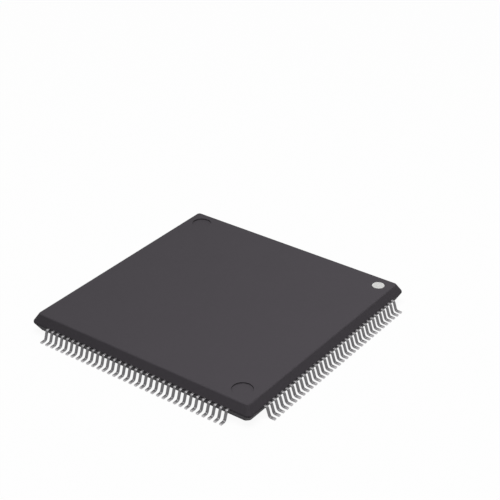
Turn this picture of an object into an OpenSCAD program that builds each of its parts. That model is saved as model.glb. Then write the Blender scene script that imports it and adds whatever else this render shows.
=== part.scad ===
// Low-profile quad flat pack: a chip moulded in epoxy, with a row of gull-wing leads on each side.
// Millimetres. The origin is on the seating plane under the middle of the body, and +Z is up.
// The front is -Y. The dot that marks pin one is at the +X +Y corner.

/* [Body] */
// Side of the square body at its widest, the parting line
body_side = 20; // [16:0.5:24]
// Thickness of the body from its underside to its top face
body_thick = 1.4; // [1.2:0.05:1.6]
// Gap between the seating plane and the underside of the body
standoff = 0.09; // [0.05:0.01:0.3]
// Slope of the side faces above the leads, in degrees from vertical
top_draft = 30; // [5:1:40]
// Slope of the side faces below the leads, in degrees from vertical
bottom_draft = 32; // [5:1:40]
// Leg of the cut across each corner of the body, at the parting line
corner_cut = 0.2; // [0.1:0.05:0.8]
// Slope of the corner cuts above and below the leads, in degrees from vertical
corner_draft = 45; // [5:1:60]

/* [Marks in the top face] */
// Diameter of the two recesses that the ejector pins leave
ejector_d = 1.55; // [1:0.05:2.2]
// Depth of the ejector recesses
ejector_depth = 0.1; // [0.02:0.01:0.2]
// Distance from the middle of an ejector recess to each of the two nearest body sides
ejector_inset = 1.66; // [1.3:0.01:3]
// Diameter of the dot at pin one
dot_d = 0.95; // [0.5:0.05:1.5]
// Thickness of the dot, which is let in flush with the top face
dot_thick = 0.03; // [0.01:0.01:0.1]
// Distance from the middle of the dot to each of the two nearest body sides
dot_inset = 1.42; // [1.1:0.01:3]

/* [Leads] */
// Distance from one lead to the next
lead_pitch = 0.5; // [0.4:0.05:0.8]
// Distance from a side of the body to the middle of the first lead on the next side
row_margin = 1.75; // [1.25:0.05:3]
// Width of a lead outside the body
lead_width = 0.18; // [0.12:0.01:0.27]
// Thickness of the lead frame's sheet
lead_thick = 0.127; // [0.09:0.001:0.2]
// Distance from a side of the body to the tips of its leads
lead_reach = 0.92; // [0.9:0.01:1.4]
// Flat length of the shoulder, where a lead leaves the body
shoulder_flat = 0.12; // [0.05:0.01:0.3]
// Slope of the shank below horizontal, in degrees
shank_angle = 80; // [60:1:85]
// Inside radius of the bend under the shoulder
shoulder_bend_r = 0.08; // [0.06:0.01:0.15]
// Inside radius of the bend above the foot
heel_bend_r = 0.15; // [0.08:0.01:0.2]

/* [Lead frame inside the body] */
// Length of each lead that stays straight inside the body
lead_root = 0.9; // [0.5:0.1:1.5]
// Width of a lead at its inner tip
tip_width = 0.12; // [0.08:0.01:0.15]
// Gap between the die pad and the inner tips of the leads
tip_gap = 1; // [0.6:0.1:2]
// Room that a row of inner tips leaves at each corner for the tie bar
tip_corner = 1.2; // [0.8:0.1:2]
// Rim of the die pad around the die
pad_rim = 0.4; // [0.1:0.1:1]
// Depth of the die pad below the leads
pad_drop = 0.2; // [0.1:0.01:0.3]
// Width of the four tie bars
tie_width = 0.3; // [0.2:0.05:0.5]
// Level length of a tie bar next to the die pad
tie_level = 0.25; // [0.1:0.05:0.5]
// Length over which a tie bar climbs from the die pad to the leads
tie_climb = 0.35; // [0.2:0.05:0.8]
// Resin left between the end of a tie bar and the corner cut
tie_cover = 0.2; // [0.1:0.05:0.5]
// Distance from the inner tips of the leads to the tape
tape_setback = 0.9; // [0.6:0.1:1.5]
// Width of the tape that holds the leads in line
tape_width = 1; // [0.5:0.1:1.5]
// Thickness of the tape
tape_thick = 0.06; // [0.04:0.01:0.1]

/* [Die and bond wires] */
// Side of the square die
die_side = 6.4; // [4:0.1:8]
// Thickness of the die
die_thick = 0.28; // [0.15:0.01:0.35]
// Thickness of the adhesive under the die
attach_thick = 0.025; // [0.015:0.005:0.05]
// Distance from an edge of the die to its row of bonds
bond_inset = 0.1; // [0.05:0.01:0.2]
// Room that a row of bonds leaves at each corner of the die
bond_corner = 0.4; // [0.2:0.1:1]
// Thickness of a bond wire
wire_thick = 0.03; // [0.02:0.005:0.05]
// Height of a wire loop above the die
loop_rise = 0.16; // [0.1:0.01:0.25]
// Length of the flat stitch at the end of a wire
stitch_length = 0.1; // [0.05:0.01:0.2]
// Distance from the inner tip of a lead to the end of its wire
stitch_inset = 0.3; // [0.2:0.01:0.4]

/* [Hidden] */

// Flat steps in each bend of a lead
bend_steps = 3;
// How far a cutting shape runs past the face that it cuts
past = 0.1;
// Sides of the round marks
round_sides = 64;

body_half = body_side / 2;
body_bottom = standoff;
body_top = standoff + body_thick;
frame_bottom = (body_bottom + body_top - lead_thick) / 2;
frame_top = frame_bottom + lead_thick;
top_inset = (body_top - frame_top) * tan(top_draft);
bottom_inset = (frame_bottom - body_bottom) * tan(bottom_draft);
cut_half = (body_side - corner_cut) / sqrt(2);
cut_top_inset = (body_top - frame_top) * tan(corner_draft);
cut_bottom_inset = (frame_bottom - body_bottom) * tan(corner_draft);

ejector_at = body_half - ejector_inset;
dot_at = body_half - dot_inset;

// The rows hold as many leads as fit between their margins
row_half = body_half - row_margin;
lead_gaps = floor(2 * row_half / lead_pitch + 0.001);

pad_half = die_side / 2 + pad_rim;
pad_bottom = frame_bottom - pad_drop;
pad_top = pad_bottom + lead_thick;
attach_top = pad_top + attach_thick;
die_top = attach_top + die_thick;

tip_line = pad_half + tip_gap;
tip_pitch = 2 * (tip_line - tip_corner) / lead_gaps;
root_line = body_half - lead_root;
tape_line = tip_line + tape_setback;

tie_start = pad_half * sqrt(2);
tie_end = cut_half - tie_cover;

bond_line = die_side / 2 - bond_inset;
bond_pitch = 2 * (bond_line - bond_corner) / lead_gaps;
stitch_line = tip_line + stitch_inset;

// Place of item i in a row of leads, tips or bonds, counted from the middle of the row
function in_row(i, pitch) = (i - lead_gaps / 2) * pitch;

// Where the middle of lead i crosses a line parallel to the body's side, inside the body
function lead_x(i, line) =
    let (share = (line - tip_line) / (root_line - tip_line))
    in_row(i, tip_pitch) * (1 - share) + in_row(i, lead_pitch) * share;

// Points of a bend about centre c, from angle a to angle b
function bend(c, r, a, b) =
    [for (k = [0 : bend_steps]) let (t = a + (b - a) * k / bend_steps) c + r * [cos(t), sin(t)]];

// Side view of the formed sheet, from the inner tips to the feet
function sheet_section() =
    let (
        shoulder_c = [body_half + shoulder_flat, frame_bottom - shoulder_bend_r],
        heel_z = lead_thick + heel_bend_r,
        both_r = shoulder_bend_r + heel_bend_r + lead_thick,
        shank = (shoulder_c.y - heel_z + both_r * cos(shank_angle)) / sin(shank_angle),
        heel_c = [shoulder_c.x + both_r * sin(shank_angle) + shank * cos(shank_angle), heel_z],
        foot_end = body_half + lead_reach
    )
    concat(
        [[tip_line, frame_bottom], [tip_line, frame_top]],
        bend(shoulder_c, shoulder_bend_r + lead_thick, 90, 90 - shank_angle),
        bend(heel_c, heel_bend_r, 270 - shank_angle, 270),
        [[foot_end, lead_thick], [foot_end, 0]],
        bend(heel_c, heel_bend_r + lead_thick, 270, 270 - shank_angle),
        bend(shoulder_c, shoulder_bend_r, 90 - shank_angle, 90)
    );

// Plan of lead i in the back row: a finger that fans in to its tip, and the straight lead outside
module lead_plan(i) {
    tip_x = in_row(i, tip_pitch);
    root_x = in_row(i, lead_pitch);
    polygon([
        [tip_x - tip_width / 2, tip_line - past],
        [tip_x + tip_width / 2, tip_line - past],
        [root_x + lead_width / 2, root_line],
        [root_x + lead_width / 2, body_half + lead_reach + past],
        [root_x - lead_width / 2, body_half + lead_reach + past],
        [root_x - lead_width / 2, root_line]
    ]);
}

// The back row of leads: the formed sheet, stamped into a comb
module lead_row() {
    intersection() {
        rotate([90, 0, 90]) linear_extrude(body_side, center = true) polygon(sheet_section());
        linear_extrude(body_top) for (i = [0 : lead_gaps]) lead_plan(i);
    }
}

// One bond wire: it rises from the die, slopes down and ends in a flat stitch on its lead
module bond_wire(i) {
    start = [in_row(i, bond_pitch), bond_line];
    end = [lead_x(i, stitch_line), stitch_line];
    way = end - start;
    run = norm(way);
    loop_top = die_top + loop_rise;
    translate(start) rotate(atan2(way.y, way.x)) rotate([90, 0, 0])
        linear_extrude(wire_thick, center = true) polygon([
            [-wire_thick / 2, die_top],
            [wire_thick / 2, die_top],
            [wire_thick / 2, loop_top - wire_thick],
            [run - stitch_length, frame_top],
            [run, frame_top],
            [run, frame_top + wire_thick],
            [run - stitch_length, frame_top + wire_thick],
            [-wire_thick / 2, loop_top]
        ]);
}

module wire_row() {
    for (i = [0 : lead_gaps]) bond_wire(i);
}

// One tie bar along +X, from under the die to the body's corner
module tie_bar() {
    climb_start = tie_start + tie_level;
    climb_end = climb_start + tie_climb;
    rotate([90, 0, 0]) linear_extrude(tie_width, center = true) polygon([
        [tie_start - tie_width, pad_bottom],
        [climb_start, pad_bottom],
        [climb_end, frame_bottom],
        [tie_end, frame_bottom],
        [tie_end, frame_top],
        [climb_end, frame_top],
        [climb_start, pad_top],
        [tie_start - tie_width, pad_top]
    ]);
}

// The body between one pair of faces, which are upright beside the leads and slope in above and below
module sloped_pair(half, top_in, bottom_in) {
    rotate([90, 0, 0]) linear_extrude(2 * body_side, center = true) polygon([
        [-half + bottom_in, body_bottom],
        [half - bottom_in, body_bottom],
        [half, frame_bottom],
        [half, frame_top],
        [half - top_in, body_top],
        [-half + top_in, body_top],
        [-half, frame_top],
        [-half, frame_bottom]
    ]);
}

module body_block() {
    intersection() {
        sloped_pair(body_half, top_inset, bottom_inset);
        rotate(90) sloped_pair(body_half, top_inset, bottom_inset);
        rotate(45) sloped_pair(cut_half, cut_top_inset, cut_bottom_inset);
        rotate(-45) sloped_pair(cut_half, cut_top_inset, cut_bottom_inset);
    }
}

module ejector_recesses() {
    for (s = [-1, 1])
        translate([s * ejector_at, -s * ejector_at, body_top - ejector_depth])
            cylinder(d = ejector_d, h = ejector_depth + past, $fn = round_sides);
}

// Everything that the resin is moulded around
module moulded_in() {
    for (turn = [0 : 90 : 270]) rotate(turn) {
        lead_row();
        wire_row();
    }
    die_pad();
    lead_tape();
    die_attach();
    silicon_die();
}

module moulded_body() {
    color("#48474a") difference() {
        body_block();
        moulded_in();
        ejector_recesses();
        pin_one_dot();
    }
}

module leads_back() {
    color("#b9bbbe") lead_row();
}

module leads_left() {
    color("#b9bbbe") rotate(90) lead_row();
}

module leads_front() {
    color("#b9bbbe") rotate(180) lead_row();
}

module leads_right() {
    color("#b9bbbe") rotate(270) lead_row();
}

module die_pad() {
    color("#c4875a") union() {
        translate([-pad_half, -pad_half, pad_bottom]) cube([2 * pad_half, 2 * pad_half, lead_thick]);
        for (turn = [45 : 90 : 315]) rotate(turn) tie_bar();
    }
}

module lead_tape() {
    color("#b9792b") translate([0, 0, frame_top]) linear_extrude(tape_thick) difference() {
        square(2 * (tape_line + tape_width), center = true);
        square(2 * tape_line, center = true);
    }
}

module die_attach() {
    color("#a9abad") translate([-die_side / 2, -die_side / 2, pad_top])
        cube([die_side, die_side, attach_thick]);
}

module silicon_die() {
    color("#5d6675") translate([-die_side / 2, -die_side / 2, attach_top])
        cube([die_side, die_side, die_thick]);
}

module bond_wires_back() {
    color("#e2bd55") wire_row();
}

module bond_wires_left() {
    color("#e2bd55") rotate(90) wire_row();
}

module bond_wires_front() {
    color("#e2bd55") rotate(180) wire_row();
}

module bond_wires_right() {
    color("#e2bd55") rotate(270) wire_row();
}

module pin_one_dot() {
    color("#d6d6d5") translate([dot_at, dot_at, body_top - dot_thick])
        cylinder(d = dot_d, h = dot_thick, $fn = round_sides);
}

moulded_body();
leads_front();
leads_right();
leads_back();
leads_left();
die_pad();
lead_tape();
die_attach();
silicon_die();
bond_wires_front();
bond_wires_right();
bond_wires_back();
bond_wires_left();
pin_one_dot();
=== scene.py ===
"""Quad flat pack chip: resin body, plated gull-wing leads, pin-one dot and what the resin holds.

The solid model is the frame. The body, the four rows of leads and the dot are modelled again
here with their rounded edges; the pieces sealed in the resin keep their solids and get a finish.
"""

import math
import random

import bmesh
import bpy
from bpy.props import FloatProperty, FloatVectorProperty, IntProperty, PointerProperty
from mathutils import Matrix, Vector


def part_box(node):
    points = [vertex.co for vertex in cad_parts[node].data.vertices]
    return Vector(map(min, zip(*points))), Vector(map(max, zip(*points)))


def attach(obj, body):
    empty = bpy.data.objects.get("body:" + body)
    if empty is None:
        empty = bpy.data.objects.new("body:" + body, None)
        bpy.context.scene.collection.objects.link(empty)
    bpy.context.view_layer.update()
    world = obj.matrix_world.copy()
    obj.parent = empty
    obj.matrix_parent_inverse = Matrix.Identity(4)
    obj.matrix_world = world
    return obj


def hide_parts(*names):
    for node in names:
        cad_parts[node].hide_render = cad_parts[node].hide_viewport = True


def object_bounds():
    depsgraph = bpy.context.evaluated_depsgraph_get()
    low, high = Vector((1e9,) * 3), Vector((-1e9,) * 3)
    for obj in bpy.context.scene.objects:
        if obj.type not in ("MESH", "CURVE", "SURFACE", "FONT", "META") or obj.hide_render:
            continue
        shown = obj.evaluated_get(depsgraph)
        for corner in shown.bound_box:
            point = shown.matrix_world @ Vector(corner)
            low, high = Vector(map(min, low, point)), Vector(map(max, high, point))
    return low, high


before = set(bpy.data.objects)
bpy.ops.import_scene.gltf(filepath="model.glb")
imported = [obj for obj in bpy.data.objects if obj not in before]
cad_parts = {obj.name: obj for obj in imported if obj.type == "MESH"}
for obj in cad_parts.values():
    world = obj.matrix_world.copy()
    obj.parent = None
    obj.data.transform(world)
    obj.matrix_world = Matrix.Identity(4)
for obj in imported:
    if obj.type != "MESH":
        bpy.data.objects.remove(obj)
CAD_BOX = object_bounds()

bl_info = {
    "name": "Quad flat pack chip",
    "version": (1, 0, 0),
    "blender": (4, 5, 0),
    "location": "3D View > Sidebar > Chip",
    "description": "Models and finishes a moulded chip with gull-wing leads on its four sides",
    "category": "Add Mesh",
}

# Millimetres in a metre: shapes are worked out in millimetres and brought down to metres at the end
MM = 1000

BODY_LOW, BODY_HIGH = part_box("moulded_body")
ROW_LOW, ROW_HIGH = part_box("leads_back")
DOT_LOW, DOT_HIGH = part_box("pin_one_dot")

# Quarter turns that bring the back row of leads to each side
ROWS = {"back": 0, "left": 1, "front": 2, "right": 3}

# Painted light along each lead: at 0 the plating takes its shaded copy, painted shade, and at 1 its
# lit copy, painted highlight
PAINTED_LIGHT_ROOT = 0.5
PAINTED_LIGHT_SHANK = 0.0
PAINTED_LIGHT_HEEL = 0.14
PAINTED_LIGHT_TIP = 1.0

# Start of the random tones of the leads
TONE_SEED = 17

# Cut-off end of each lead, in millimetres: how far its edges are broken, along and across
END_BREAK = 0.012
END_INSET = 0.8 * END_BREAK

# How far the cutter of the marks stands above the top face, in millimetres
CUTTER_PAST = 0.1

# Sides of the polygons that stand for the round marks
RECESS_SIDES = 96
DOT_SIDES = 64

# A body whose marks are cut has more faces than this, and one that isn't cut has fewer
CUT_BODY_FACES = 200

# Edges sharper than this many degrees stay sharp when a piece is shaded smooth
SHARP_EDGE = 50

# Heights closer than this are the same level, in millimetres
LEVEL_SLACK = 0.01

# Where the fill light stands, in metres
FILL_PLACE = (0.22, 0.1, 0.08)

# How far below the feet the floor lies, so that the two surfaces don't share a plane
FLOOR_DROP = 0.002 / MM

# Floor where it is seen: the share of its white that is its own, while the rest takes the
# shadow, and the white of that rest
FLOOR_GLOW = 0.93
FLOOR_PAPER = (0.95, 0.95, 0.95)


# ---------------------------------------------------------------- properties


def length(name, description, default):
    """A length in metres that a user may change."""
    return FloatProperty(
        name=name, description=description, default=default, min=0, precision=6,
        subtype="DISTANCE", unit="LENGTH",
    )


def angle(name, description, degrees):
    """An angle, stored in radians, that a user may change."""
    return FloatProperty(
        name=name, description=description, default=math.radians(degrees),
        subtype="ANGLE", unit="ROTATION",
    )


def share(name, description, default):
    """A number from 0 to 1 that a user may change."""
    return FloatProperty(
        name=name, description=description, default=default, min=0, max=1, subtype="FACTOR"
    )


def colour(name, description, default):
    """A colour that a user may change."""
    return FloatVectorProperty(
        name=name, description=description, default=default, min=0, max=1,
        size=3, subtype="COLOR",
    )


def power(name, description, default):
    """The power of a lamp in watts that a user may change."""
    return FloatProperty(
        name=name, description=description, default=default, min=0, precision=4, unit="POWER"
    )


class ChipBody(bpy.types.PropertyGroup):
    """Sizes and finish of the moulded body."""

    upper_draft: angle("Upper draft", "Slope of the sides above the leads, from vertical", 30)
    lower_draft: angle("Lower draft", "Slope of the sides below the leads, from vertical", 29)
    corner_cut: length(
        "Corner cut", "Leg of the cut across each corner, at the parting line", 0.2 / MM
    )
    upper_corner_draft: angle(
        "Upper corner draft", "Slope of the corner cuts above the leads, from vertical", 37
    )
    lower_corner_draft: angle(
        "Lower corner draft", "Slope of the corner cuts below the leads, from vertical", 41
    )
    edge_round: length(
        "Edge rounding", "Width of the rounding round the top and underside", 0.11 / MM
    )
    corner_round: length("Corner rounding", "Width of the rounding down the corners", 0.16 / MM)
    belt_round: length("Belt rounding", "Width of the rounding along the parting line", 0.03 / MM)
    recess_width: length("Recess diameter", "Diameter of the ejector pin recesses", 1.55 / MM)
    recess_depth: length("Recess depth", "Depth of the ejector pin recesses", 0.1 / MM)
    recess_inset: length("Recess inset", "From a recess's middle to the nearest sides", 1.66 / MM)
    recess_shift: length(
        "Recess shift", "How much further from the right side the front recess lies", 0.13 / MM
    )
    resin: colour("Resin", "Colour of the moulding resin", (0.0626, 0.0565, 0.0645))
    resin_roughness: share("Resin roughness", "Roughness of the moulding resin", 0.62)
    grain_depth: length("Grain depth", "Depth of the mould's fine grain", 0.004 / MM)


class ChipLeads(bpy.types.PropertyGroup):
    """Sizes and finish of the leads."""

    pitch: length("Pitch", "Distance from one lead to the next", 0.5 / MM)
    width: length("Width", "Width of a lead outside the body", 0.2 / MM)
    thickness: length("Thickness", "Thickness of the lead frame's sheet", 0.127 / MM)
    shoulder_flat: length("Shoulder", "Flat length where a lead leaves the body", 0.12 / MM)
    shank_angle: angle("Shank angle", "Slope of the shank below horizontal", 72.5)
    shoulder_radius: length("Shoulder bend", "Inside radius of the upper bend", 0.065 / MM)
    heel_radius: length("Heel bend", "Inside radius of the bend above the foot", 0.14 / MM)
    root: length("Root", "Length of each lead that stays straight inside the body", 0.9 / MM)
    tip_width: length("Inner tip width", "Width of a lead at its inner tip", 0.12 / MM)
    tip_corner: length("Inner tip corner", "Room left at each corner for the tie bar", 1.2 / MM)
    top_round: length(
        "Upper edge rounding", "Rounding of the edges on the punched side", 0.026 / MM
    )
    under_round: length(
        "Lower edge rounding", "Rounding of the edges on the other side", 0.014 / MM
    )
    bend_steps: IntProperty(
        name="Bend steps", description="Steps in each bend of a lead", default=8, min=2, max=16
    )
    # The plating colour and the next are lit and shaded copies of the tin; the shaded one is
    # painted shade on the shanks and heels
    plating: colour("Plating", "Colour of the tin plating at its brightest", (0.48, 0.47, 0.48))
    worn: colour(
        "Worn plating", "Colour of the plating where bending dulled it", (0.192, 0.188, 0.194)
    )
    plating_roughness: share("Plating roughness", "Roughness of the tin plating", 0.36)


class ChipDot(bpy.types.PropertyGroup):
    """Finish of the dot at pin one."""

    crown: length("Crown", "Height of the dot's middle above its rim", 0.004 / MM)
    ink: colour("Ink", "Colour of the marking ink", (0.7, 0.7, 0.69))


class ChipInside(bpy.types.PropertyGroup):
    """Finishes of what the resin holds."""

    copper: colour("Copper alloy", "Colour of the lead frame's bare sheet", (0.72, 0.42, 0.27))
    film: colour("Film", "Colour of the tape across the leads", (0.50, 0.20, 0.035))
    adhesive: colour("Adhesive", "Colour of the silver adhesive under the die", (0.45, 0.46, 0.47))
    silicon: colour("Silicon", "Colour of the die", (0.16, 0.18, 0.22))
    wiring: colour("Wiring", "Colour of the fine wiring on the die", (0.36, 0.30, 0.24))
    gold: colour("Gold", "Colour of the bond wires", (0.90, 0.62, 0.22))


class ChipStage(bpy.types.PropertyGroup):
    """Floor, light and camera."""

    azimuth: angle("Azimuth", "Where the camera stands round the chip, from the front", 36.25)
    elevation: angle("Elevation", "Height of the camera above the horizon", 30.1)
    distance: length("Distance", "From the camera to the middle of the chip", 103.735 / MM)
    move_right: length("Move right", "How far the camera stands to its right", 2.197 / MM)
    move_up: length("Move up", "How far the camera stands above its aim", 4.226 / MM)
    lens: FloatProperty(
        name="Lens", description="Focal length in millimetres", default=98.97, min=1, unit="CAMERA"
    )
    floor_half: length("Floor", "Half the side of the floor", 0.8)
    floor_colour: colour(
        "Floor colour", "Colour that the floor throws back on the chip", (0.34, 0.34, 0.34)
    )
    key_power: power("Key light", "Power of the large soft light overhead", 0.51)
    key_size: length("Key size", "Side of the key light", 0.2)
    key_height: length("Key height", "Height of the key light over the floor", 0.25)
    fill_power: power("Fill light", "Power of the soft light at the right", 0.002)
    fill_size: length("Fill size", "Side of the fill light", 0.15)
    ambient: share("Ambient light", "Strength of the light from all round", 0.25)


# ---------------------------------------------------------------- shaders


class Value:
    """A shader socket that takes part in sums, each of which adds its Math node."""

    def __init__(self, sheet, socket):
        self.sheet = sheet
        self.socket = socket

    def maths(self, operation, *terms):
        return self.sheet.node(
            "ShaderNodeMath", {"operation": operation}, dict(enumerate(terms))
        )

    def __add__(self, other):
        return self.maths("ADD", self, other)

    def __radd__(self, other):
        return self.maths("ADD", other, self)

    def __mul__(self, other):
        return self.maths("MULTIPLY", self, other)

    def __rmul__(self, other):
        return self.maths("MULTIPLY", other, self)

    def larger(self, other):
        return self.maths("MAXIMUM", self, other)


class Sheet:
    """The node tree of one material or of the world."""

    def __init__(self, tree):
        self.tree = tree
        tree.nodes.clear()

    def node(self, kind, settings=None, sockets=None, out=0):
        """Adds a node: its settings first, then its sockets. Gives the named output."""
        made = self.tree.nodes.new(kind)
        for name, value in (settings or {}).items():
            if name == "stops":
                self.set_stops(made.color_ramp, value)
            else:
                setattr(made, name, value)
        for name, value in (sockets or {}).items():
            socket = made.inputs[name]
            if isinstance(value, Value):
                self.tree.links.new(value.socket, socket)
            else:
                socket.default_value = value
        return Value(self, made.outputs[out]) if len(made.outputs) else made

    @staticmethod
    def set_stops(ramp, stops):
        """Places a ramp's stops, each a position and a grey."""
        while len(ramp.elements) < len(stops):
            ramp.elements.new(1)
        for element, (position, grey) in zip(ramp.elements, stops):
            element.position = position
            element.color = (grey, grey, grey, 1)

    def place(self):
        """Position in the chip's own frame, in metres."""
        return self.node("ShaderNodeTexCoord", out="Object")

    def noise(self, size, detail=2, roughness=0.5, place=None):
        """Soft random field whose patches are about size metres across."""
        return self.node(
            "ShaderNodeTexNoise",
            {"noise_dimensions": "3D"},
            {"Vector": place or self.place(), "Scale": 1 / size, "Detail": detail,
             "Roughness": roughness},
        )

    def ramp(self, value, stops):
        return self.node("ShaderNodeValToRGB", {"stops": stops}, {0: value})

    def blend(self, factor, first, second):
        """Mixes two colours."""
        return self.node(
            "ShaderNodeMix",
            {"data_type": "RGBA", "blend_type": "MIX"},
            {0: factor, 6: first, 7: second},
            out=2,
        )

    def bump(self, height, depth, strength):
        """Relief of a surface, depth metres high at most."""
        return self.node(
            "ShaderNodeBump", {}, {"Strength": strength, "Distance": depth, "Height": height}
        )

    def surface(self, **sockets):
        """Ends the tree in a Principled surface."""
        shader = self.node("ShaderNodeBsdfPrincipled", {}, sockets)
        self.node("ShaderNodeOutputMaterial", {}, {"Surface": shader})


def new_sheet(name):
    """A new material and its empty node tree."""
    material = bpy.data.materials.new(name)
    material.use_nodes = True
    return material, Sheet(material.node_tree)


def rgba(tint, times=1.0):
    """A colour with alpha, made lighter or darker."""
    return tuple(min(1.0, part * times) for part in tint) + (1.0,)


def moulded_resin(sizes):
    """Matte black resin full of fine silica, with the grain of a spark-eroded mould, and painted
    light that makes it lighter towards the right.
    """
    material, sheet = new_sheet("moulded resin")
    cloud = sheet.noise(2.5 / MM, detail=3)
    mottle = sheet.noise(0.35 / MM, detail=4, roughness=0.6)
    grain = sheet.noise(0.06 / MM, detail=3, roughness=0.65)
    specks = sheet.node(
        "ShaderNodeTexVoronoi", {"feature": "F1"},
        {"Vector": sheet.place(), "Scale": MM / 0.05, "Randomness": 1.0},
    )
    tone = 0.25 * cloud + 0.35 * mottle + 0.4 * grain
    # Painted light: the resin is made lighter towards the right side, as if more light fell there
    across = sheet.node("ShaderNodeSeparateXYZ", {}, {0: sheet.place()}, out="X")
    painted_light_right = sheet.node(
        "ShaderNodeMapRange", {},
        {"Value": across, "From Min": BODY_LOW.x, "From Max": BODY_HIGH.x},
    )
    base = sheet.blend(
        0.5 * tone + 0.5 * painted_light_right, rgba(sizes.resin, 0.78), rgba(sizes.resin, 1.22)
    )
    filler = sheet.ramp(specks, [(0.0, 1.0), (0.16, 0.25), (0.3, 0.0)])
    base = sheet.blend(0.1 * filler, base, rgba(sizes.resin, 2.2))
    sheet.surface(**{
        "Base Color": base,
        "Roughness": sizes.resin_roughness - 0.05 + 0.1 * grain,
        "Specular IOR Level": 0.1,
        "Normal": sheet.bump(0.7 * grain + 0.3 * mottle, sizes.grain_depth, 0.6),
    })
    return material


def tin_plating(sizes):
    """Matte tin over the copper alloy with fine crystals, and painted light along each lead:
    painted shade on the shank, painted highlight towards the tip.
    """
    material, sheet = new_sheet("tin plating")
    lead = sheet.node("ShaderNodeAttribute", {"attribute_name": "lead_tone"}, out="Fac")
    along = sheet.node("ShaderNodeAttribute", {"attribute_name": "lead_shine"}, out="Fac")
    crystals = sheet.noise(0.012 / MM, detail=3, roughness=0.6)
    patches = sheet.noise(0.12 / MM, detail=3)
    streaks = sheet.noise(
        0.05 / MM, detail=2,
        place=sheet.node("ShaderNodeMapping", {}, {"Vector": sheet.place(), "Scale": (1, 1, 0.12)}),
    )
    tone = 0.45 * lead + 0.35 * patches + 0.2 * streaks
    # Shaded and lit copies of the tin, mixed by the painted light along the lead
    worn = sheet.blend(tone, rgba(sizes.worn, 0.86), rgba(sizes.worn, 1.14))
    bright = sheet.blend(tone, rgba(sizes.plating, 0.88), rgba(sizes.plating, 1.12))
    sheet.surface(**{
        "Base Color": sheet.blend(along, worn, bright),
        "Metallic": 1.0,
        "Roughness": sizes.plating_roughness - 0.09 + 0.12 * patches + 0.06 * crystals,
        "Normal": sheet.bump(0.5 * crystals + 0.5 * streaks, 0.0016 / MM, 0.5),
    })
    return material


def marking_ink(sizes):
    """Pale ink, a little blotchy, with the resin's grain showing through."""
    material, sheet = new_sheet("marking ink")
    blotches = sheet.noise(0.16 / MM, detail=4, roughness=0.6)
    grain = sheet.noise(0.05 / MM, detail=2)
    sheet.surface(**{
        "Base Color": sheet.blend(
            0.6 * blotches + 0.4 * grain, rgba(sizes.ink, 0.9), rgba(sizes.ink, 1.1)
        ),
        "Roughness": 0.55 + 0.15 * blotches,
        "Specular IOR Level": 0.3,
        "Normal": sheet.bump(grain, 0.003 / MM, 0.5),
    })
    return material


def bare_copper(sizes):
    """Rolled copper alloy with faint rolling lines and slight tarnish."""
    material, sheet = new_sheet("bare copper alloy")
    lines = sheet.noise(
        0.03 / MM, detail=2,
        place=sheet.node("ShaderNodeMapping", {}, {"Vector": sheet.place(), "Scale": (0.04, 1, 1)}),
    )
    tarnish = sheet.noise(1.2 / MM, detail=4, roughness=0.6)
    sheet.surface(**{
        "Base Color": sheet.blend(tarnish, rgba(sizes.copper), rgba(sizes.copper, 0.72)),
        "Metallic": 1.0,
        "Roughness": 0.24 + 0.16 * tarnish + 0.06 * lines,
        "Normal": sheet.bump(lines, 0.001 / MM, 0.4),
    })
    return material


def amber_film(sizes):
    """Amber polyimide film with a soft sheen."""
    material, sheet = new_sheet("amber film")
    ripple = sheet.noise(0.4 / MM, detail=2)
    sheet.surface(**{
        "Base Color": sheet.blend(ripple, rgba(sizes.film, 0.85), rgba(sizes.film, 1.2)),
        "Roughness": 0.26 + 0.1 * ripple,
        "Normal": sheet.bump(ripple, 0.002 / MM, 0.5),
    })
    return material


def silver_adhesive(sizes):
    """Cured adhesive full of silver flakes."""
    material, sheet = new_sheet("silver adhesive")
    flakes = sheet.node(
        "ShaderNodeTexVoronoi", {"feature": "F1"},
        {"Vector": sheet.place(), "Scale": MM / 0.02, "Randomness": 1.0},
    )
    paste = sheet.noise(0.15 / MM, detail=3)
    sheet.surface(**{
        "Base Color": sheet.blend(flakes, rgba(sizes.adhesive, 1.25), rgba(sizes.adhesive, 0.75)),
        "Metallic": 0.55,
        "Roughness": 0.38 + 0.2 * paste,
        "Normal": sheet.bump(flakes, 0.002 / MM, 0.5),
    })
    return material


def silicon_die(sizes):
    """Polished silicon under its passivation, with blocks of fine wiring."""
    material, sheet = new_sheet("silicon")
    blocks = sheet.node(
        "ShaderNodeTexVoronoi", {"feature": "F1", "distance": "CHEBYCHEV"},
        {"Vector": sheet.place(), "Scale": MM / 1.1, "Randomness": 0.7}, out="Color",
    )
    wiring = sheet.node(
        "ShaderNodeTexWave", {"wave_type": "BANDS", "bands_direction": "DIAGONAL"},
        {"Vector": sheet.place(), "Scale": MM / 0.12, "Distortion": 0.0},
    )
    block = sheet.node("ShaderNodeSeparateColor", {}, {0: blocks})
    base = sheet.blend(block, rgba(sizes.silicon, 0.75), rgba(sizes.silicon, 1.3))
    base = sheet.blend(0.25 * wiring, base, rgba(sizes.wiring))
    sheet.surface(**{
        "Base Color": base,
        "Metallic": 0.5,
        "Roughness": 0.14 + 0.08 * wiring,
        "Normal": sheet.bump(wiring, 0.0005 / MM, 0.4),
    })
    return material


def gold_wire(sizes):
    """Drawn gold wire."""
    material, sheet = new_sheet("gold wire")
    drawn = sheet.noise(0.02 / MM, detail=2)
    sheet.surface(**{
        "Base Color": sheet.blend(drawn, rgba(sizes.gold, 0.9), rgba(sizes.gold, 1.08)),
        "Metallic": 1.0,
        "Roughness": 0.2 + 0.1 * drawn,
    })
    return material


# ---------------------------------------------------------------- meshes


def add_object(name, mesh):
    """Links a new object that holds the mesh."""
    made = bpy.data.objects.new(name, mesh)
    bpy.context.scene.collection.objects.link(made)
    return made


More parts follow.
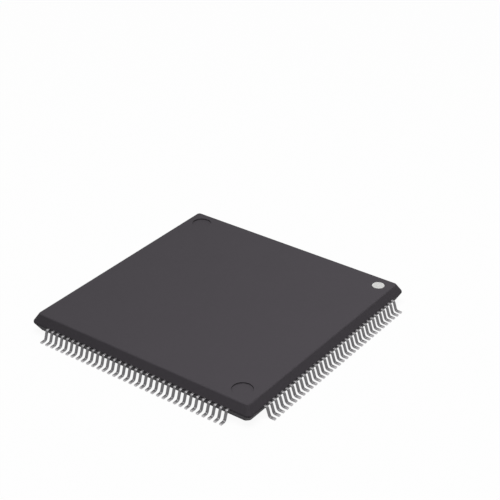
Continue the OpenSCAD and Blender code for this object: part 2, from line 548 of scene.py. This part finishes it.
def lathe(shape, profile, middle, sides):
    """Adds a closed round solid. The profile runs from the axis round to the axis again,
    each point a radius and a height; the solid lies to the left of it."""
    rings = []
    for radius, height in profile:
        if radius == 0:
            rings.append([shape.verts.new((middle.x, middle.y, height))])
            continue
        rings.append([
            shape.verts.new((
                middle.x + radius * math.cos(math.tau * side / sides),
                middle.y + radius * math.sin(math.tau * side / sides),
                height,
            ))
            for side in range(sides)
        ])
    for low, high in zip(rings, rings[1:]):
        for side in range(sides):
            after = (side + 1) % sides
            if len(low) == 1:
                shape.faces.new((low[0], high[after], high[side]))
            elif len(high) == 1:
                shape.faces.new((low[side], low[after], high[0]))
            else:
                shape.faces.new((low[side], low[after], high[after], high[side]))


def quarter(middle, radius, start, steps=4):
    """Points of a quarter circle from the start angle, in degrees, anticlockwise."""
    turns = [math.radians(start + 90 * step / steps) for step in range(steps + 1)]
    return [(middle[0] + radius * math.cos(t), middle[1] + radius * math.sin(t)) for t in turns]


def finished(name, shape, modifiers=()):
    """Turns a shape in millimetres into an object in metres, smooth but for its sharp edges."""
    mesh = bpy.data.meshes.new(name)
    shape.to_mesh(mesh)
    shape.free()
    draft = add_object(name + "_draft", mesh)
    for kind, settings in modifiers:
        modifier = draft.modifiers.new(kind, kind)
        for setting, value in settings.items():
            setattr(modifier, setting, value)
    bpy.context.view_layer.update()
    applied = bpy.data.meshes.new_from_object(
        draft.evaluated_get(bpy.context.evaluated_depsgraph_get())
    )
    applied.polygons.foreach_set("use_smooth", [True] * len(applied.polygons))
    applied.set_sharp_from_angle(angle=math.radians(SHARP_EDGE))
    bpy.data.objects.remove(draft)
    second = add_object(name + "_weighted", applied)
    weighting = second.modifiers.new("weighting", "WEIGHTED_NORMAL")
    weighting.keep_sharp = True
    weighting.weight = 100
    bpy.context.view_layer.update()
    final = bpy.data.meshes.new_from_object(
        second.evaluated_get(bpy.context.evaluated_depsgraph_get())
    )
    bpy.data.objects.remove(second)
    final.transform(Matrix.Scale(1 / MM, 4))
    final.name = name
    return add_object(name, final)


def dress(piece, material, slot, *nodes):
    """Gives a new piece its finish and puts it in place of its solids."""
    piece.data.materials.clear()
    piece.data.materials.append(material)
    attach(piece, "root")
    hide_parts(*nodes)


def refinish(material, *nodes):
    """Gives solids that stay as they are their finish."""
    for name in nodes:
        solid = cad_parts[name]
        if not solid.material_slots:
            solid.data.materials.append(material)
        for slot in solid.material_slots:
            slot.material = material


def cut_away(shape, point, outward):
    """Cuts off what lies beyond a plane and closes the cut."""
    cut = bmesh.ops.bisect_plane(
        shape, geom=shape.verts[:] + shape.edges[:] + shape.faces[:], dist=1e-5,
        plane_co=point, plane_no=outward, clear_outer=True,
    )
    edges = [part for part in cut["geom_cut"] if isinstance(part, bmesh.types.BMEdge)]
    if edges:
        bmesh.ops.contextual_create(shape, geom=edges)


def slope_away(shape, swing, reach, level, draft):
    """Cuts a sloped face that starts at a level: above it, or below it if the draft is negative."""
    cut_away(
        shape, swing @ Vector((reach, 0, level)),
        swing @ Vector((math.cos(draft), 0, math.sin(draft))),
    )


def frame_levels(leads):
    """Heights of the underside and top of the sheet where it lies in the body, in millimetres."""
    top = ROW_HIGH.z * MM
    return top - leads.thickness * MM, top


def body_block(body, leads):
    """The body before its recesses: drafted sides above and below the leads, cut corners."""
    low, high = BODY_LOW * MM, BODY_HIGH * MM
    half = high.x
    cut_half = (2 * half - body.corner_cut * MM) / math.sqrt(2)
    belt_low, belt_high = frame_levels(leads)
    shape = bmesh.new()
    bmesh.ops.create_cube(shape, size=1)
    for vert in shape.verts:
        vert.co = Vector((
            vert.co.x * 2 * half,
            vert.co.y * 2 * half,
            high.z if vert.co.z > 0 else low.z,
        ))
    for turn in range(4):
        side = Matrix.Rotation(turn * math.pi / 2, 3, "Z")
        slope_away(shape, side, half, belt_high, body.upper_draft)
        slope_away(shape, side, half, belt_low, -body.lower_draft)
        corner = Matrix.Rotation((turn + 0.5) * math.pi / 2, 3, "Z")
        cut_away(shape, corner @ Vector((cut_half, 0, 0)), corner @ Vector((1, 0, 0)))
        slope_away(shape, corner, cut_half, belt_high, body.upper_corner_draft)
        slope_away(shape, corner, cut_half, belt_low, -body.lower_corner_draft)
    bmesh.ops.recalc_face_normals(shape, faces=shape.faces[:])
    return shape


def weigh_edges(shape, body, leads):
    """Marks the edges with their share of the widest rounding, and gives that width."""
    belt_low, belt_high = frame_levels(leads)
    widest = max(body.edge_round, body.corner_round, body.belt_round)
    weights = shape.edges.layers.float.new("bevel_weight_edge")
    for edge in shape.edges:
        low, high = sorted(vert.co.z for vert in edge.verts)
        if high - low > LEVEL_SLACK:
            width = body.corner_round
        elif belt_low - LEVEL_SLACK < low < belt_high + LEVEL_SLACK:
            width = body.belt_round
        else:
            width = body.edge_round
        edge[weights] = width / widest
    return widest * MM


def dot_place():
    """Radius and middle of the dot, in millimetres."""
    return (DOT_HIGH.x - DOT_LOW.x) * MM / 2, (DOT_LOW + DOT_HIGH) / 2 * MM


def mark_cutter(body):
    """What is cut out of the top face: the ejector recesses and the seat of the dot."""
    top = BODY_HIGH.z * MM
    past = top + CUTTER_PAST
    radius = body.recess_width * MM / 2
    floor = top - body.recess_depth * MM
    # Radii of a recess's worn rim and of the corner round its floor
    rim, foot = 0.018, 0.03
    flare = [
        (radius + rim - rim * math.cos(t), top - rim + rim * math.sin(t))
        for t in (math.radians(step * 20) for step in range(5))
    ]
    profile = (
        [(0, floor)]
        + quarter((radius - foot, floor + foot), foot, -90)
        + flare
        + [(radius + rim, top), (radius + rim, past), (0, past)]
    )
    shape = bmesh.new()
    at = (BODY_HIGH.x - body.recess_inset) * MM
    for middle in ((at - body.recess_shift * MM, -at, 0), (-at, at, 0)):
        lathe(shape, profile, Vector(middle), RECESS_SIDES)
    seat, middle = dot_place()
    bottom = DOT_LOW.z * MM
    lathe(shape, [(0, bottom), (seat, bottom), (seat, past), (0, past)], middle, DOT_SIDES)
    mesh = bpy.data.meshes.new("mark_cutter")
    shape.to_mesh(mesh)
    shape.free()
    return add_object("mark_cutter", mesh)


def between(start, end, done):
    """The number that lies a share of the way from start to end."""
    return start * (1 - done) + end * done


def lead_path(leads):
    """Middle line of a lead in side view. Each station is a distance from the chip's middle,
    a height, the direction that the sheet's upper side faces there, as an angle, and the
    share of painted light, from painted shade to painted highlight, that the plating takes."""
    thick = leads.thickness * MM
    belt_low, belt_high = frame_levels(leads)
    level = (belt_low + belt_high) / 2
    inner, outer = leads.shoulder_radius * MM, leads.heel_radius * MM
    steep = leads.shank_angle
    shoulder_x = BODY_HIGH.y * MM + leads.shoulder_flat * MM
    shoulder_z = belt_low - inner
    heel_z = thick + outer
    both = inner + outer + thick
    shank = (shoulder_z - heel_z + both * math.cos(steep)) / math.sin(steep)
    heel_x = shoulder_x + both * math.sin(steep) + shank * math.cos(steep)
    upright = math.pi / 2
    steps = leads.bend_steps
    stations = [
        (ROW_LOW.y * MM, level, upright, PAINTED_LIGHT_ROOT),
        (BODY_HIGH.y * MM - leads.root * MM, level, upright, PAINTED_LIGHT_ROOT),
        (BODY_HIGH.y * MM, level, upright, PAINTED_LIGHT_ROOT),
    ]
    for step in range(steps + 1):
        done = step / steps
        facing = upright - steep * done
        reach = inner + thick / 2
        stations.append((
            shoulder_x + reach * math.cos(facing), shoulder_z + reach * math.sin(facing),
            facing, between(PAINTED_LIGHT_ROOT, PAINTED_LIGHT_SHANK, done),
        ))
    for step in range(steps + 1):
        done = step / steps
        facing = upright - steep * (1 - done)
        reach = outer + thick / 2
        stations.append((
            heel_x - reach * math.cos(facing), heel_z - reach * math.sin(facing),
            facing, between(PAINTED_LIGHT_SHANK, PAINTED_LIGHT_HEEL, done),
        ))
    stations.append((ROW_HIGH.y * MM, thick / 2, upright, PAINTED_LIGHT_TIP))
    return stations


def lead_section(leads, half_width, inset=0.0):
    """Points round a lead's cross-section, as distances across and towards its upper side."""
    half_thick = leads.thickness * MM / 2
    corners = (
        (1, 1, leads.top_round * MM, 0), (-1, 1, leads.top_round * MM, 90),
        (-1, -1, leads.under_round * MM, 180), (1, -1, leads.under_round * MM, 270),
    )
    points = []
    for across, up, radius, start in corners:
        middle = (across * (half_width - radius), up * (half_thick - radius))
        points += quarter(middle, radius - inset, start, steps=2)
    return points


def lead_row(leads, turns, seed):
    """One row of leads, with a random tone for each and the painted light along it, which the
    plating picks up.
    """
    pitch = leads.pitch * MM
    half_width = leads.width * MM / 2
    half_tip = leads.tip_width * MM / 2
    gaps = round((ROW_HIGH.x - ROW_LOW.x - leads.width) / leads.pitch)
    tip_line = ROW_LOW.y * MM
    tip_pitch = 2 * (tip_line - leads.tip_corner * MM) / gaps
    stations = lead_path(leads)
    # The ends are broken a little, as the cut leaves them
    first, last = stations[0], stations[-1]
    stations = (
        [(first, END_INSET), ((first[0] + END_BREAK, *first[1:]), 0.0)]
        + [(station, 0.0) for station in stations[1:-1]]
        + [((last[0] - END_BREAK, *last[1:]), 0.0), (last, END_INSET)]
    )
    root_line = BODY_HIGH.y * MM - leads.root * MM
    swing = Matrix.Rotation(turns * math.pi / 2, 3, "Z")
    chance = random.Random(seed)
    shape = bmesh.new()
    tones = shape.verts.layers.float.new("lead_tone")
    # Painted light along the lead, from the shaded copy of the plating to the lit one
    painted_light_levels = shape.verts.layers.float.new("lead_shine")
    for lead in range(gaps + 1):
        tone = chance.random()
        place = lead - gaps / 2
        rings = []
        for (reach, height, facing, painted_light_level), inset in stations:
            root_share = min(1.0, (reach - tip_line) / (root_line - tip_line))
            middle = place * between(tip_pitch, pitch, root_share)
            width = between(half_tip, half_width, root_share)
            ring = []
            for across, up in lead_section(leads, width, inset):
                vert = shape.verts.new(swing @ Vector((
                    middle + across,
                    reach + up * math.cos(facing),
                    height + up * math.sin(facing),
                )))
                vert[tones] = tone
                vert[painted_light_levels] = painted_light_level
                ring.append(vert)
            rings.append(ring)
        count = len(rings[0])
        for near, far in zip(rings, rings[1:]):
            for point in range(count):
                after = (point + 1) % count
                shape.faces.new((near[point], near[after], far[after], far[point]))
        shape.faces.new(reversed(rings[0]))
        shape.faces.new(rings[-1])
    bmesh.ops.recalc_face_normals(shape, faces=shape.faces[:])
    return shape


# ---------------------------------------------------------------- operators


class CHIP_OT_moulded_body(bpy.types.Operator):
    """Model the resin body with its drafted sides, rounded edges and ejector recesses"""

    bl_idname = "chip.moulded_body"
    bl_label = "Moulded body"
    bl_options = {"REGISTER", "UNDO"}

    def execute(self, context):
        body, leads = context.scene.chip_body, context.scene.chip_leads
        shape = body_block(body, leads)
        widest = weigh_edges(shape, body, leads)
        cutter = mark_cutter(body)
        piece = finished("resin_body", shape, [
            ("BEVEL", {"width": widest, "segments": 4, "limit_method": "WEIGHT"}),
            ("BOOLEAN", {"operation": "DIFFERENCE", "solver": "EXACT", "object": cutter}),
        ])
        bpy.data.objects.remove(cutter)
        if len(piece.data.polygons) < CUT_BODY_FACES:
            raise RuntimeError("the recesses weren't cut into the body")
        dress(piece, moulded_resin(body), "mould_resin", "moulded_body")
        return {"FINISHED"}


class CHIP_OT_leads(bpy.types.Operator):
    """Model the four rows of plated gull-wing leads"""

    bl_idname = "chip.leads"
    bl_label = "Leads"
    bl_options = {"REGISTER", "UNDO"}

    def execute(self, context):
        leads = context.scene.chip_leads
        plating = tin_plating(leads)
        for side, turns in ROWS.items():
            piece = finished("lead_row_" + side, lead_row(leads, turns, TONE_SEED + turns))
            dress(piece, plating, "plated_lead", "leads_" + side)
        return {"FINISHED"}


class CHIP_OT_pin_one_dot(bpy.types.Operator):
    """Model the ink dot that marks pin one"""

    bl_idname = "chip.pin_one_dot"
    bl_label = "Pin-one dot"
    bl_options = {"REGISTER", "UNDO"}

    def execute(self, context):
        dot = context.scene.chip_dot
        radius, middle = dot_place()
        bottom, top = DOT_LOW.z * MM, DOT_HIGH.z * MM
        crown = dot.crown * MM
        # Height of the rounded rim of the ink
        soft = 0.006
        shape = bmesh.new()
        dome = [
            (radius * part, top - crown * part * part)
            for part in (0.96, 0.8, 0.6, 0.4, 0.2, 0)
        ]
        lathe(
            shape,
            [(0, bottom), (radius, bottom), (radius, top - crown - soft),
             (radius - soft * 0.3, top - crown - soft * 0.3)] + dome,
            middle, DOT_SIDES,
        )
        bmesh.ops.recalc_face_normals(shape, faces=shape.faces[:])
        dress(finished("ink_dot", shape), marking_ink(dot), "marking_ink", "pin_one_dot")
        return {"FINISHED"}


class CHIP_OT_lead_frame(bpy.types.Operator):
    """Finish the die pad with its tie bars, and the tape across the leads"""

    bl_idname = "chip.lead_frame"
    bl_label = "Die pad and tape"
    bl_options = {"REGISTER", "UNDO"}

    def execute(self, context):
        inside = context.scene.chip_inside
        refinish(bare_copper(inside), "die_pad")
        refinish(amber_film(inside), "lead_tape")
        return {"FINISHED"}


class CHIP_OT_die(bpy.types.Operator):
    """Finish the silicon die and the adhesive under it"""

    bl_idname = "chip.die"
    bl_label = "Die and adhesive"
    bl_options = {"REGISTER", "UNDO"}

    def execute(self, context):
        inside = context.scene.chip_inside
        refinish(silver_adhesive(inside), "die_attach")
        refinish(silicon_die(inside), "silicon_die")
        return {"FINISHED"}


class CHIP_OT_bond_wires(bpy.types.Operator):
    """Finish the four rows of bond wires"""

    bl_idname = "chip.bond_wires"
    bl_label = "Bond wires"
    bl_options = {"REGISTER", "UNDO"}

    def execute(self, context):
        refinish(
            gold_wire(context.scene.chip_inside), *("bond_wires_" + side for side in ROWS)
        )
        return {"FINISHED"}


def add_lamp(name, watts, size, place, aim):
    """A square soft lamp that faces its aim."""
    light = bpy.data.lights.new(name, "AREA")
    light.energy = watts
    light.size = size
    lamp = add_object(name, light)
    lamp.location = place
    lamp.rotation_mode = "QUATERNION"
    lamp.rotation_quaternion = (Vector(place) - Vector(aim)).to_track_quat("Z", "Y")


def seen_rays(sheet):
    """1 for rays of the camera and of reflections and glass, which show the white surroundings."""
    rays = [
        sheet.node("ShaderNodeLightPath", out=name)
        for name in ("Is Camera Ray", "Is Glossy Ray", "Is Transmission Ray")
    ]
    return rays[0].larger(rays[1]).larger(rays[2])


def studio_floor(stage):
    """White where it is seen, with the chip's soft shadow; pale grey where it throws light back."""
    material, sheet = new_sheet("studio floor")
    seen = seen_rays(sheet)
    paper = sheet.node(
        "ShaderNodeBsdfDiffuse", {},
        {"Color": sheet.blend(seen, rgba(stage.floor_colour), rgba(FLOOR_PAPER))},
    )
    white = sheet.node("ShaderNodeEmission", {}, {"Color": (1, 1, 1, 1), "Strength": 1.0})
    both = sheet.node("ShaderNodeMixShader", {}, {0: FLOOR_GLOW * seen, 1: paper, 2: white})
    sheet.node("ShaderNodeOutputMaterial", {}, {"Surface": both})
    return material


def turned_to(sheet, axis, start, end, low, high):
    """A value that goes from low to high as the world's direction turns towards the axis."""
    way = sheet.node("ShaderNodeTexCoord", out="Generated")
    reach = sheet.node(
        "ShaderNodeVectorMath", {"operation": "DOT_PRODUCT"}, {0: way, 1: axis}, out="Value"
    )
    return sheet.node(
        "ShaderNodeMapRange", {"interpolation_type": "SMOOTHSTEP"},
        {"Value": reach, "From Min": start, "From Max": end, "To Min": low, "To Max": high},
    )


def studio_world(stage):
    """White surroundings. What lights the chip is dimmer low down, front left and right."""
    world = bpy.data.worlds.new("studio")
    bpy.context.scene.world = world
    world.use_nodes = True
    sheet = Sheet(world.node_tree)
    low_down = turned_to(sheet, (0, 0, 1), 0.0, 0.6, 0.6, 1.0)
    front_left = turned_to(sheet, (-0.55, -0.83, 0), 0.0, 0.95, 1.0, 0.7)
    right = turned_to(sheet, (1, 0, 0), 0.2, 0.9, 1.0, 0.75)
    light = low_down * front_left * right
    camera = sheet.node("ShaderNodeLightPath", out="Is Camera Ray")
    bounced = stage.ambient + (1 - stage.ambient) * seen_rays(sheet)
    background = sheet.node(
        "ShaderNodeBackground", {},
        {"Color": (1, 1, 1, 1), "Strength": camera.larger(light * bounced)},
    )
    sheet.node("ShaderNodeOutputWorld", {}, {"Surface": background})


class CHIP_OT_stage(bpy.types.Operator):
    """Set up the floor, the soft studio light and the camera"""

    bl_idname = "chip.stage"
    bl_label = "Stage"
    bl_options = {"REGISTER", "UNDO"}

    def execute(self, context):
        stage = context.scene.chip_stage
        half = stage.floor_half
        mesh = bpy.data.meshes.new("studio_floor")
        mesh.from_pydata(
            [(-half, -half, 0), (half, -half, 0), (half, half, 0), (-half, half, 0)],
            [], [(0, 1, 2, 3)],
        )
        floor = add_object("studio_floor", mesh)
        floor.location.z = CAD_BOX[0].z - FLOOR_DROP
        mesh.materials.append(studio_floor(stage))

        studio_world(stage)
        middle = (CAD_BOX[0] + CAD_BOX[1]) / 2
        over = (0.0, 0.0, stage.key_height)
        add_lamp("key_light", stage.key_power, stage.key_size, over, middle)
        add_lamp("fill_light", stage.fill_power, stage.fill_size, FILL_PLACE, middle)

        camera = add_object("camera", bpy.data.cameras.new("camera"))
        camera.data.lens = stage.lens
        camera.data.sensor_width = 36
        camera.data.clip_start = 0.001
        camera.data.clip_end = 10
        turn, rise = stage.azimuth, stage.elevation
        back = Vector((
            math.sin(turn) * math.cos(rise), -math.cos(turn) * math.cos(rise), math.sin(rise)
        ))
        right = Vector((math.cos(turn), math.sin(turn), 0))
        up = back.cross(right)
        levels = frame_levels(context.scene.chip_leads)
        aim = Vector((0, 0, sum(levels) / 2 / MM))
        spot = aim + back * stage.distance + right * stage.move_right + up * stage.move_up
        pose = Matrix((right, up, back)).transposed().to_4x4()
        pose.translation = spot
        camera.matrix_world = pose
        context.scene.camera = camera
        context.scene.view_settings.view_transform = "Standard"
        return {"FINISHED"}


class CHIP_PT_panel(bpy.types.Panel):
    """Sizes, finishes and the steps that make the chip"""

    bl_idname = "CHIP_PT_panel"
    bl_label = "Quad flat pack chip"
    bl_space_type = "VIEW_3D"
    bl_region_type = "UI"
    bl_category = "Chip"

    def draw(self, context):
        layout = self.layout
        for operator in OPERATORS:
            layout.operator(operator.bl_idname)
        for name, group in GROUPS.items():
            box = layout.box()
            box.label(text=group.__doc__)
            settings = getattr(context.scene, name)
            for key in group.__annotations__:
                box.prop(settings, key)


GROUPS = {
    "chip_body": ChipBody,
    "chip_leads": ChipLeads,
    "chip_dot": ChipDot,
    "chip_inside": ChipInside,
    "chip_stage": ChipStage,
}
OPERATORS = (
    CHIP_OT_moulded_body,
    CHIP_OT_leads,
    CHIP_OT_pin_one_dot,
    CHIP_OT_lead_frame,
    CHIP_OT_die,
    CHIP_OT_bond_wires,
    CHIP_OT_stage,
)


def register():
    for made in (*GROUPS.values(), *OPERATORS, CHIP_PT_panel):
        bpy.utils.register_class(made)
    for name, group in GROUPS.items():
        setattr(bpy.types.Scene, name, PointerProperty(type=group))


def unregister():
    for name in GROUPS:
        delattr(bpy.types.Scene, name)
    for made in reversed((*GROUPS.values(), *OPERATORS, CHIP_PT_panel)):
        bpy.utils.unregister_class(made)


def main():
    """Registers the add-on and makes every piece and the stage."""
    register()
    bpy.ops.chip.moulded_body()
    bpy.ops.chip.leads()
    bpy.ops.chip.pin_one_dot()
    bpy.ops.chip.lead_frame()
    bpy.ops.chip.die()
    bpy.ops.chip.bond_wires()
    bpy.ops.chip.stage()


if __name__ == "__main__":
    main()
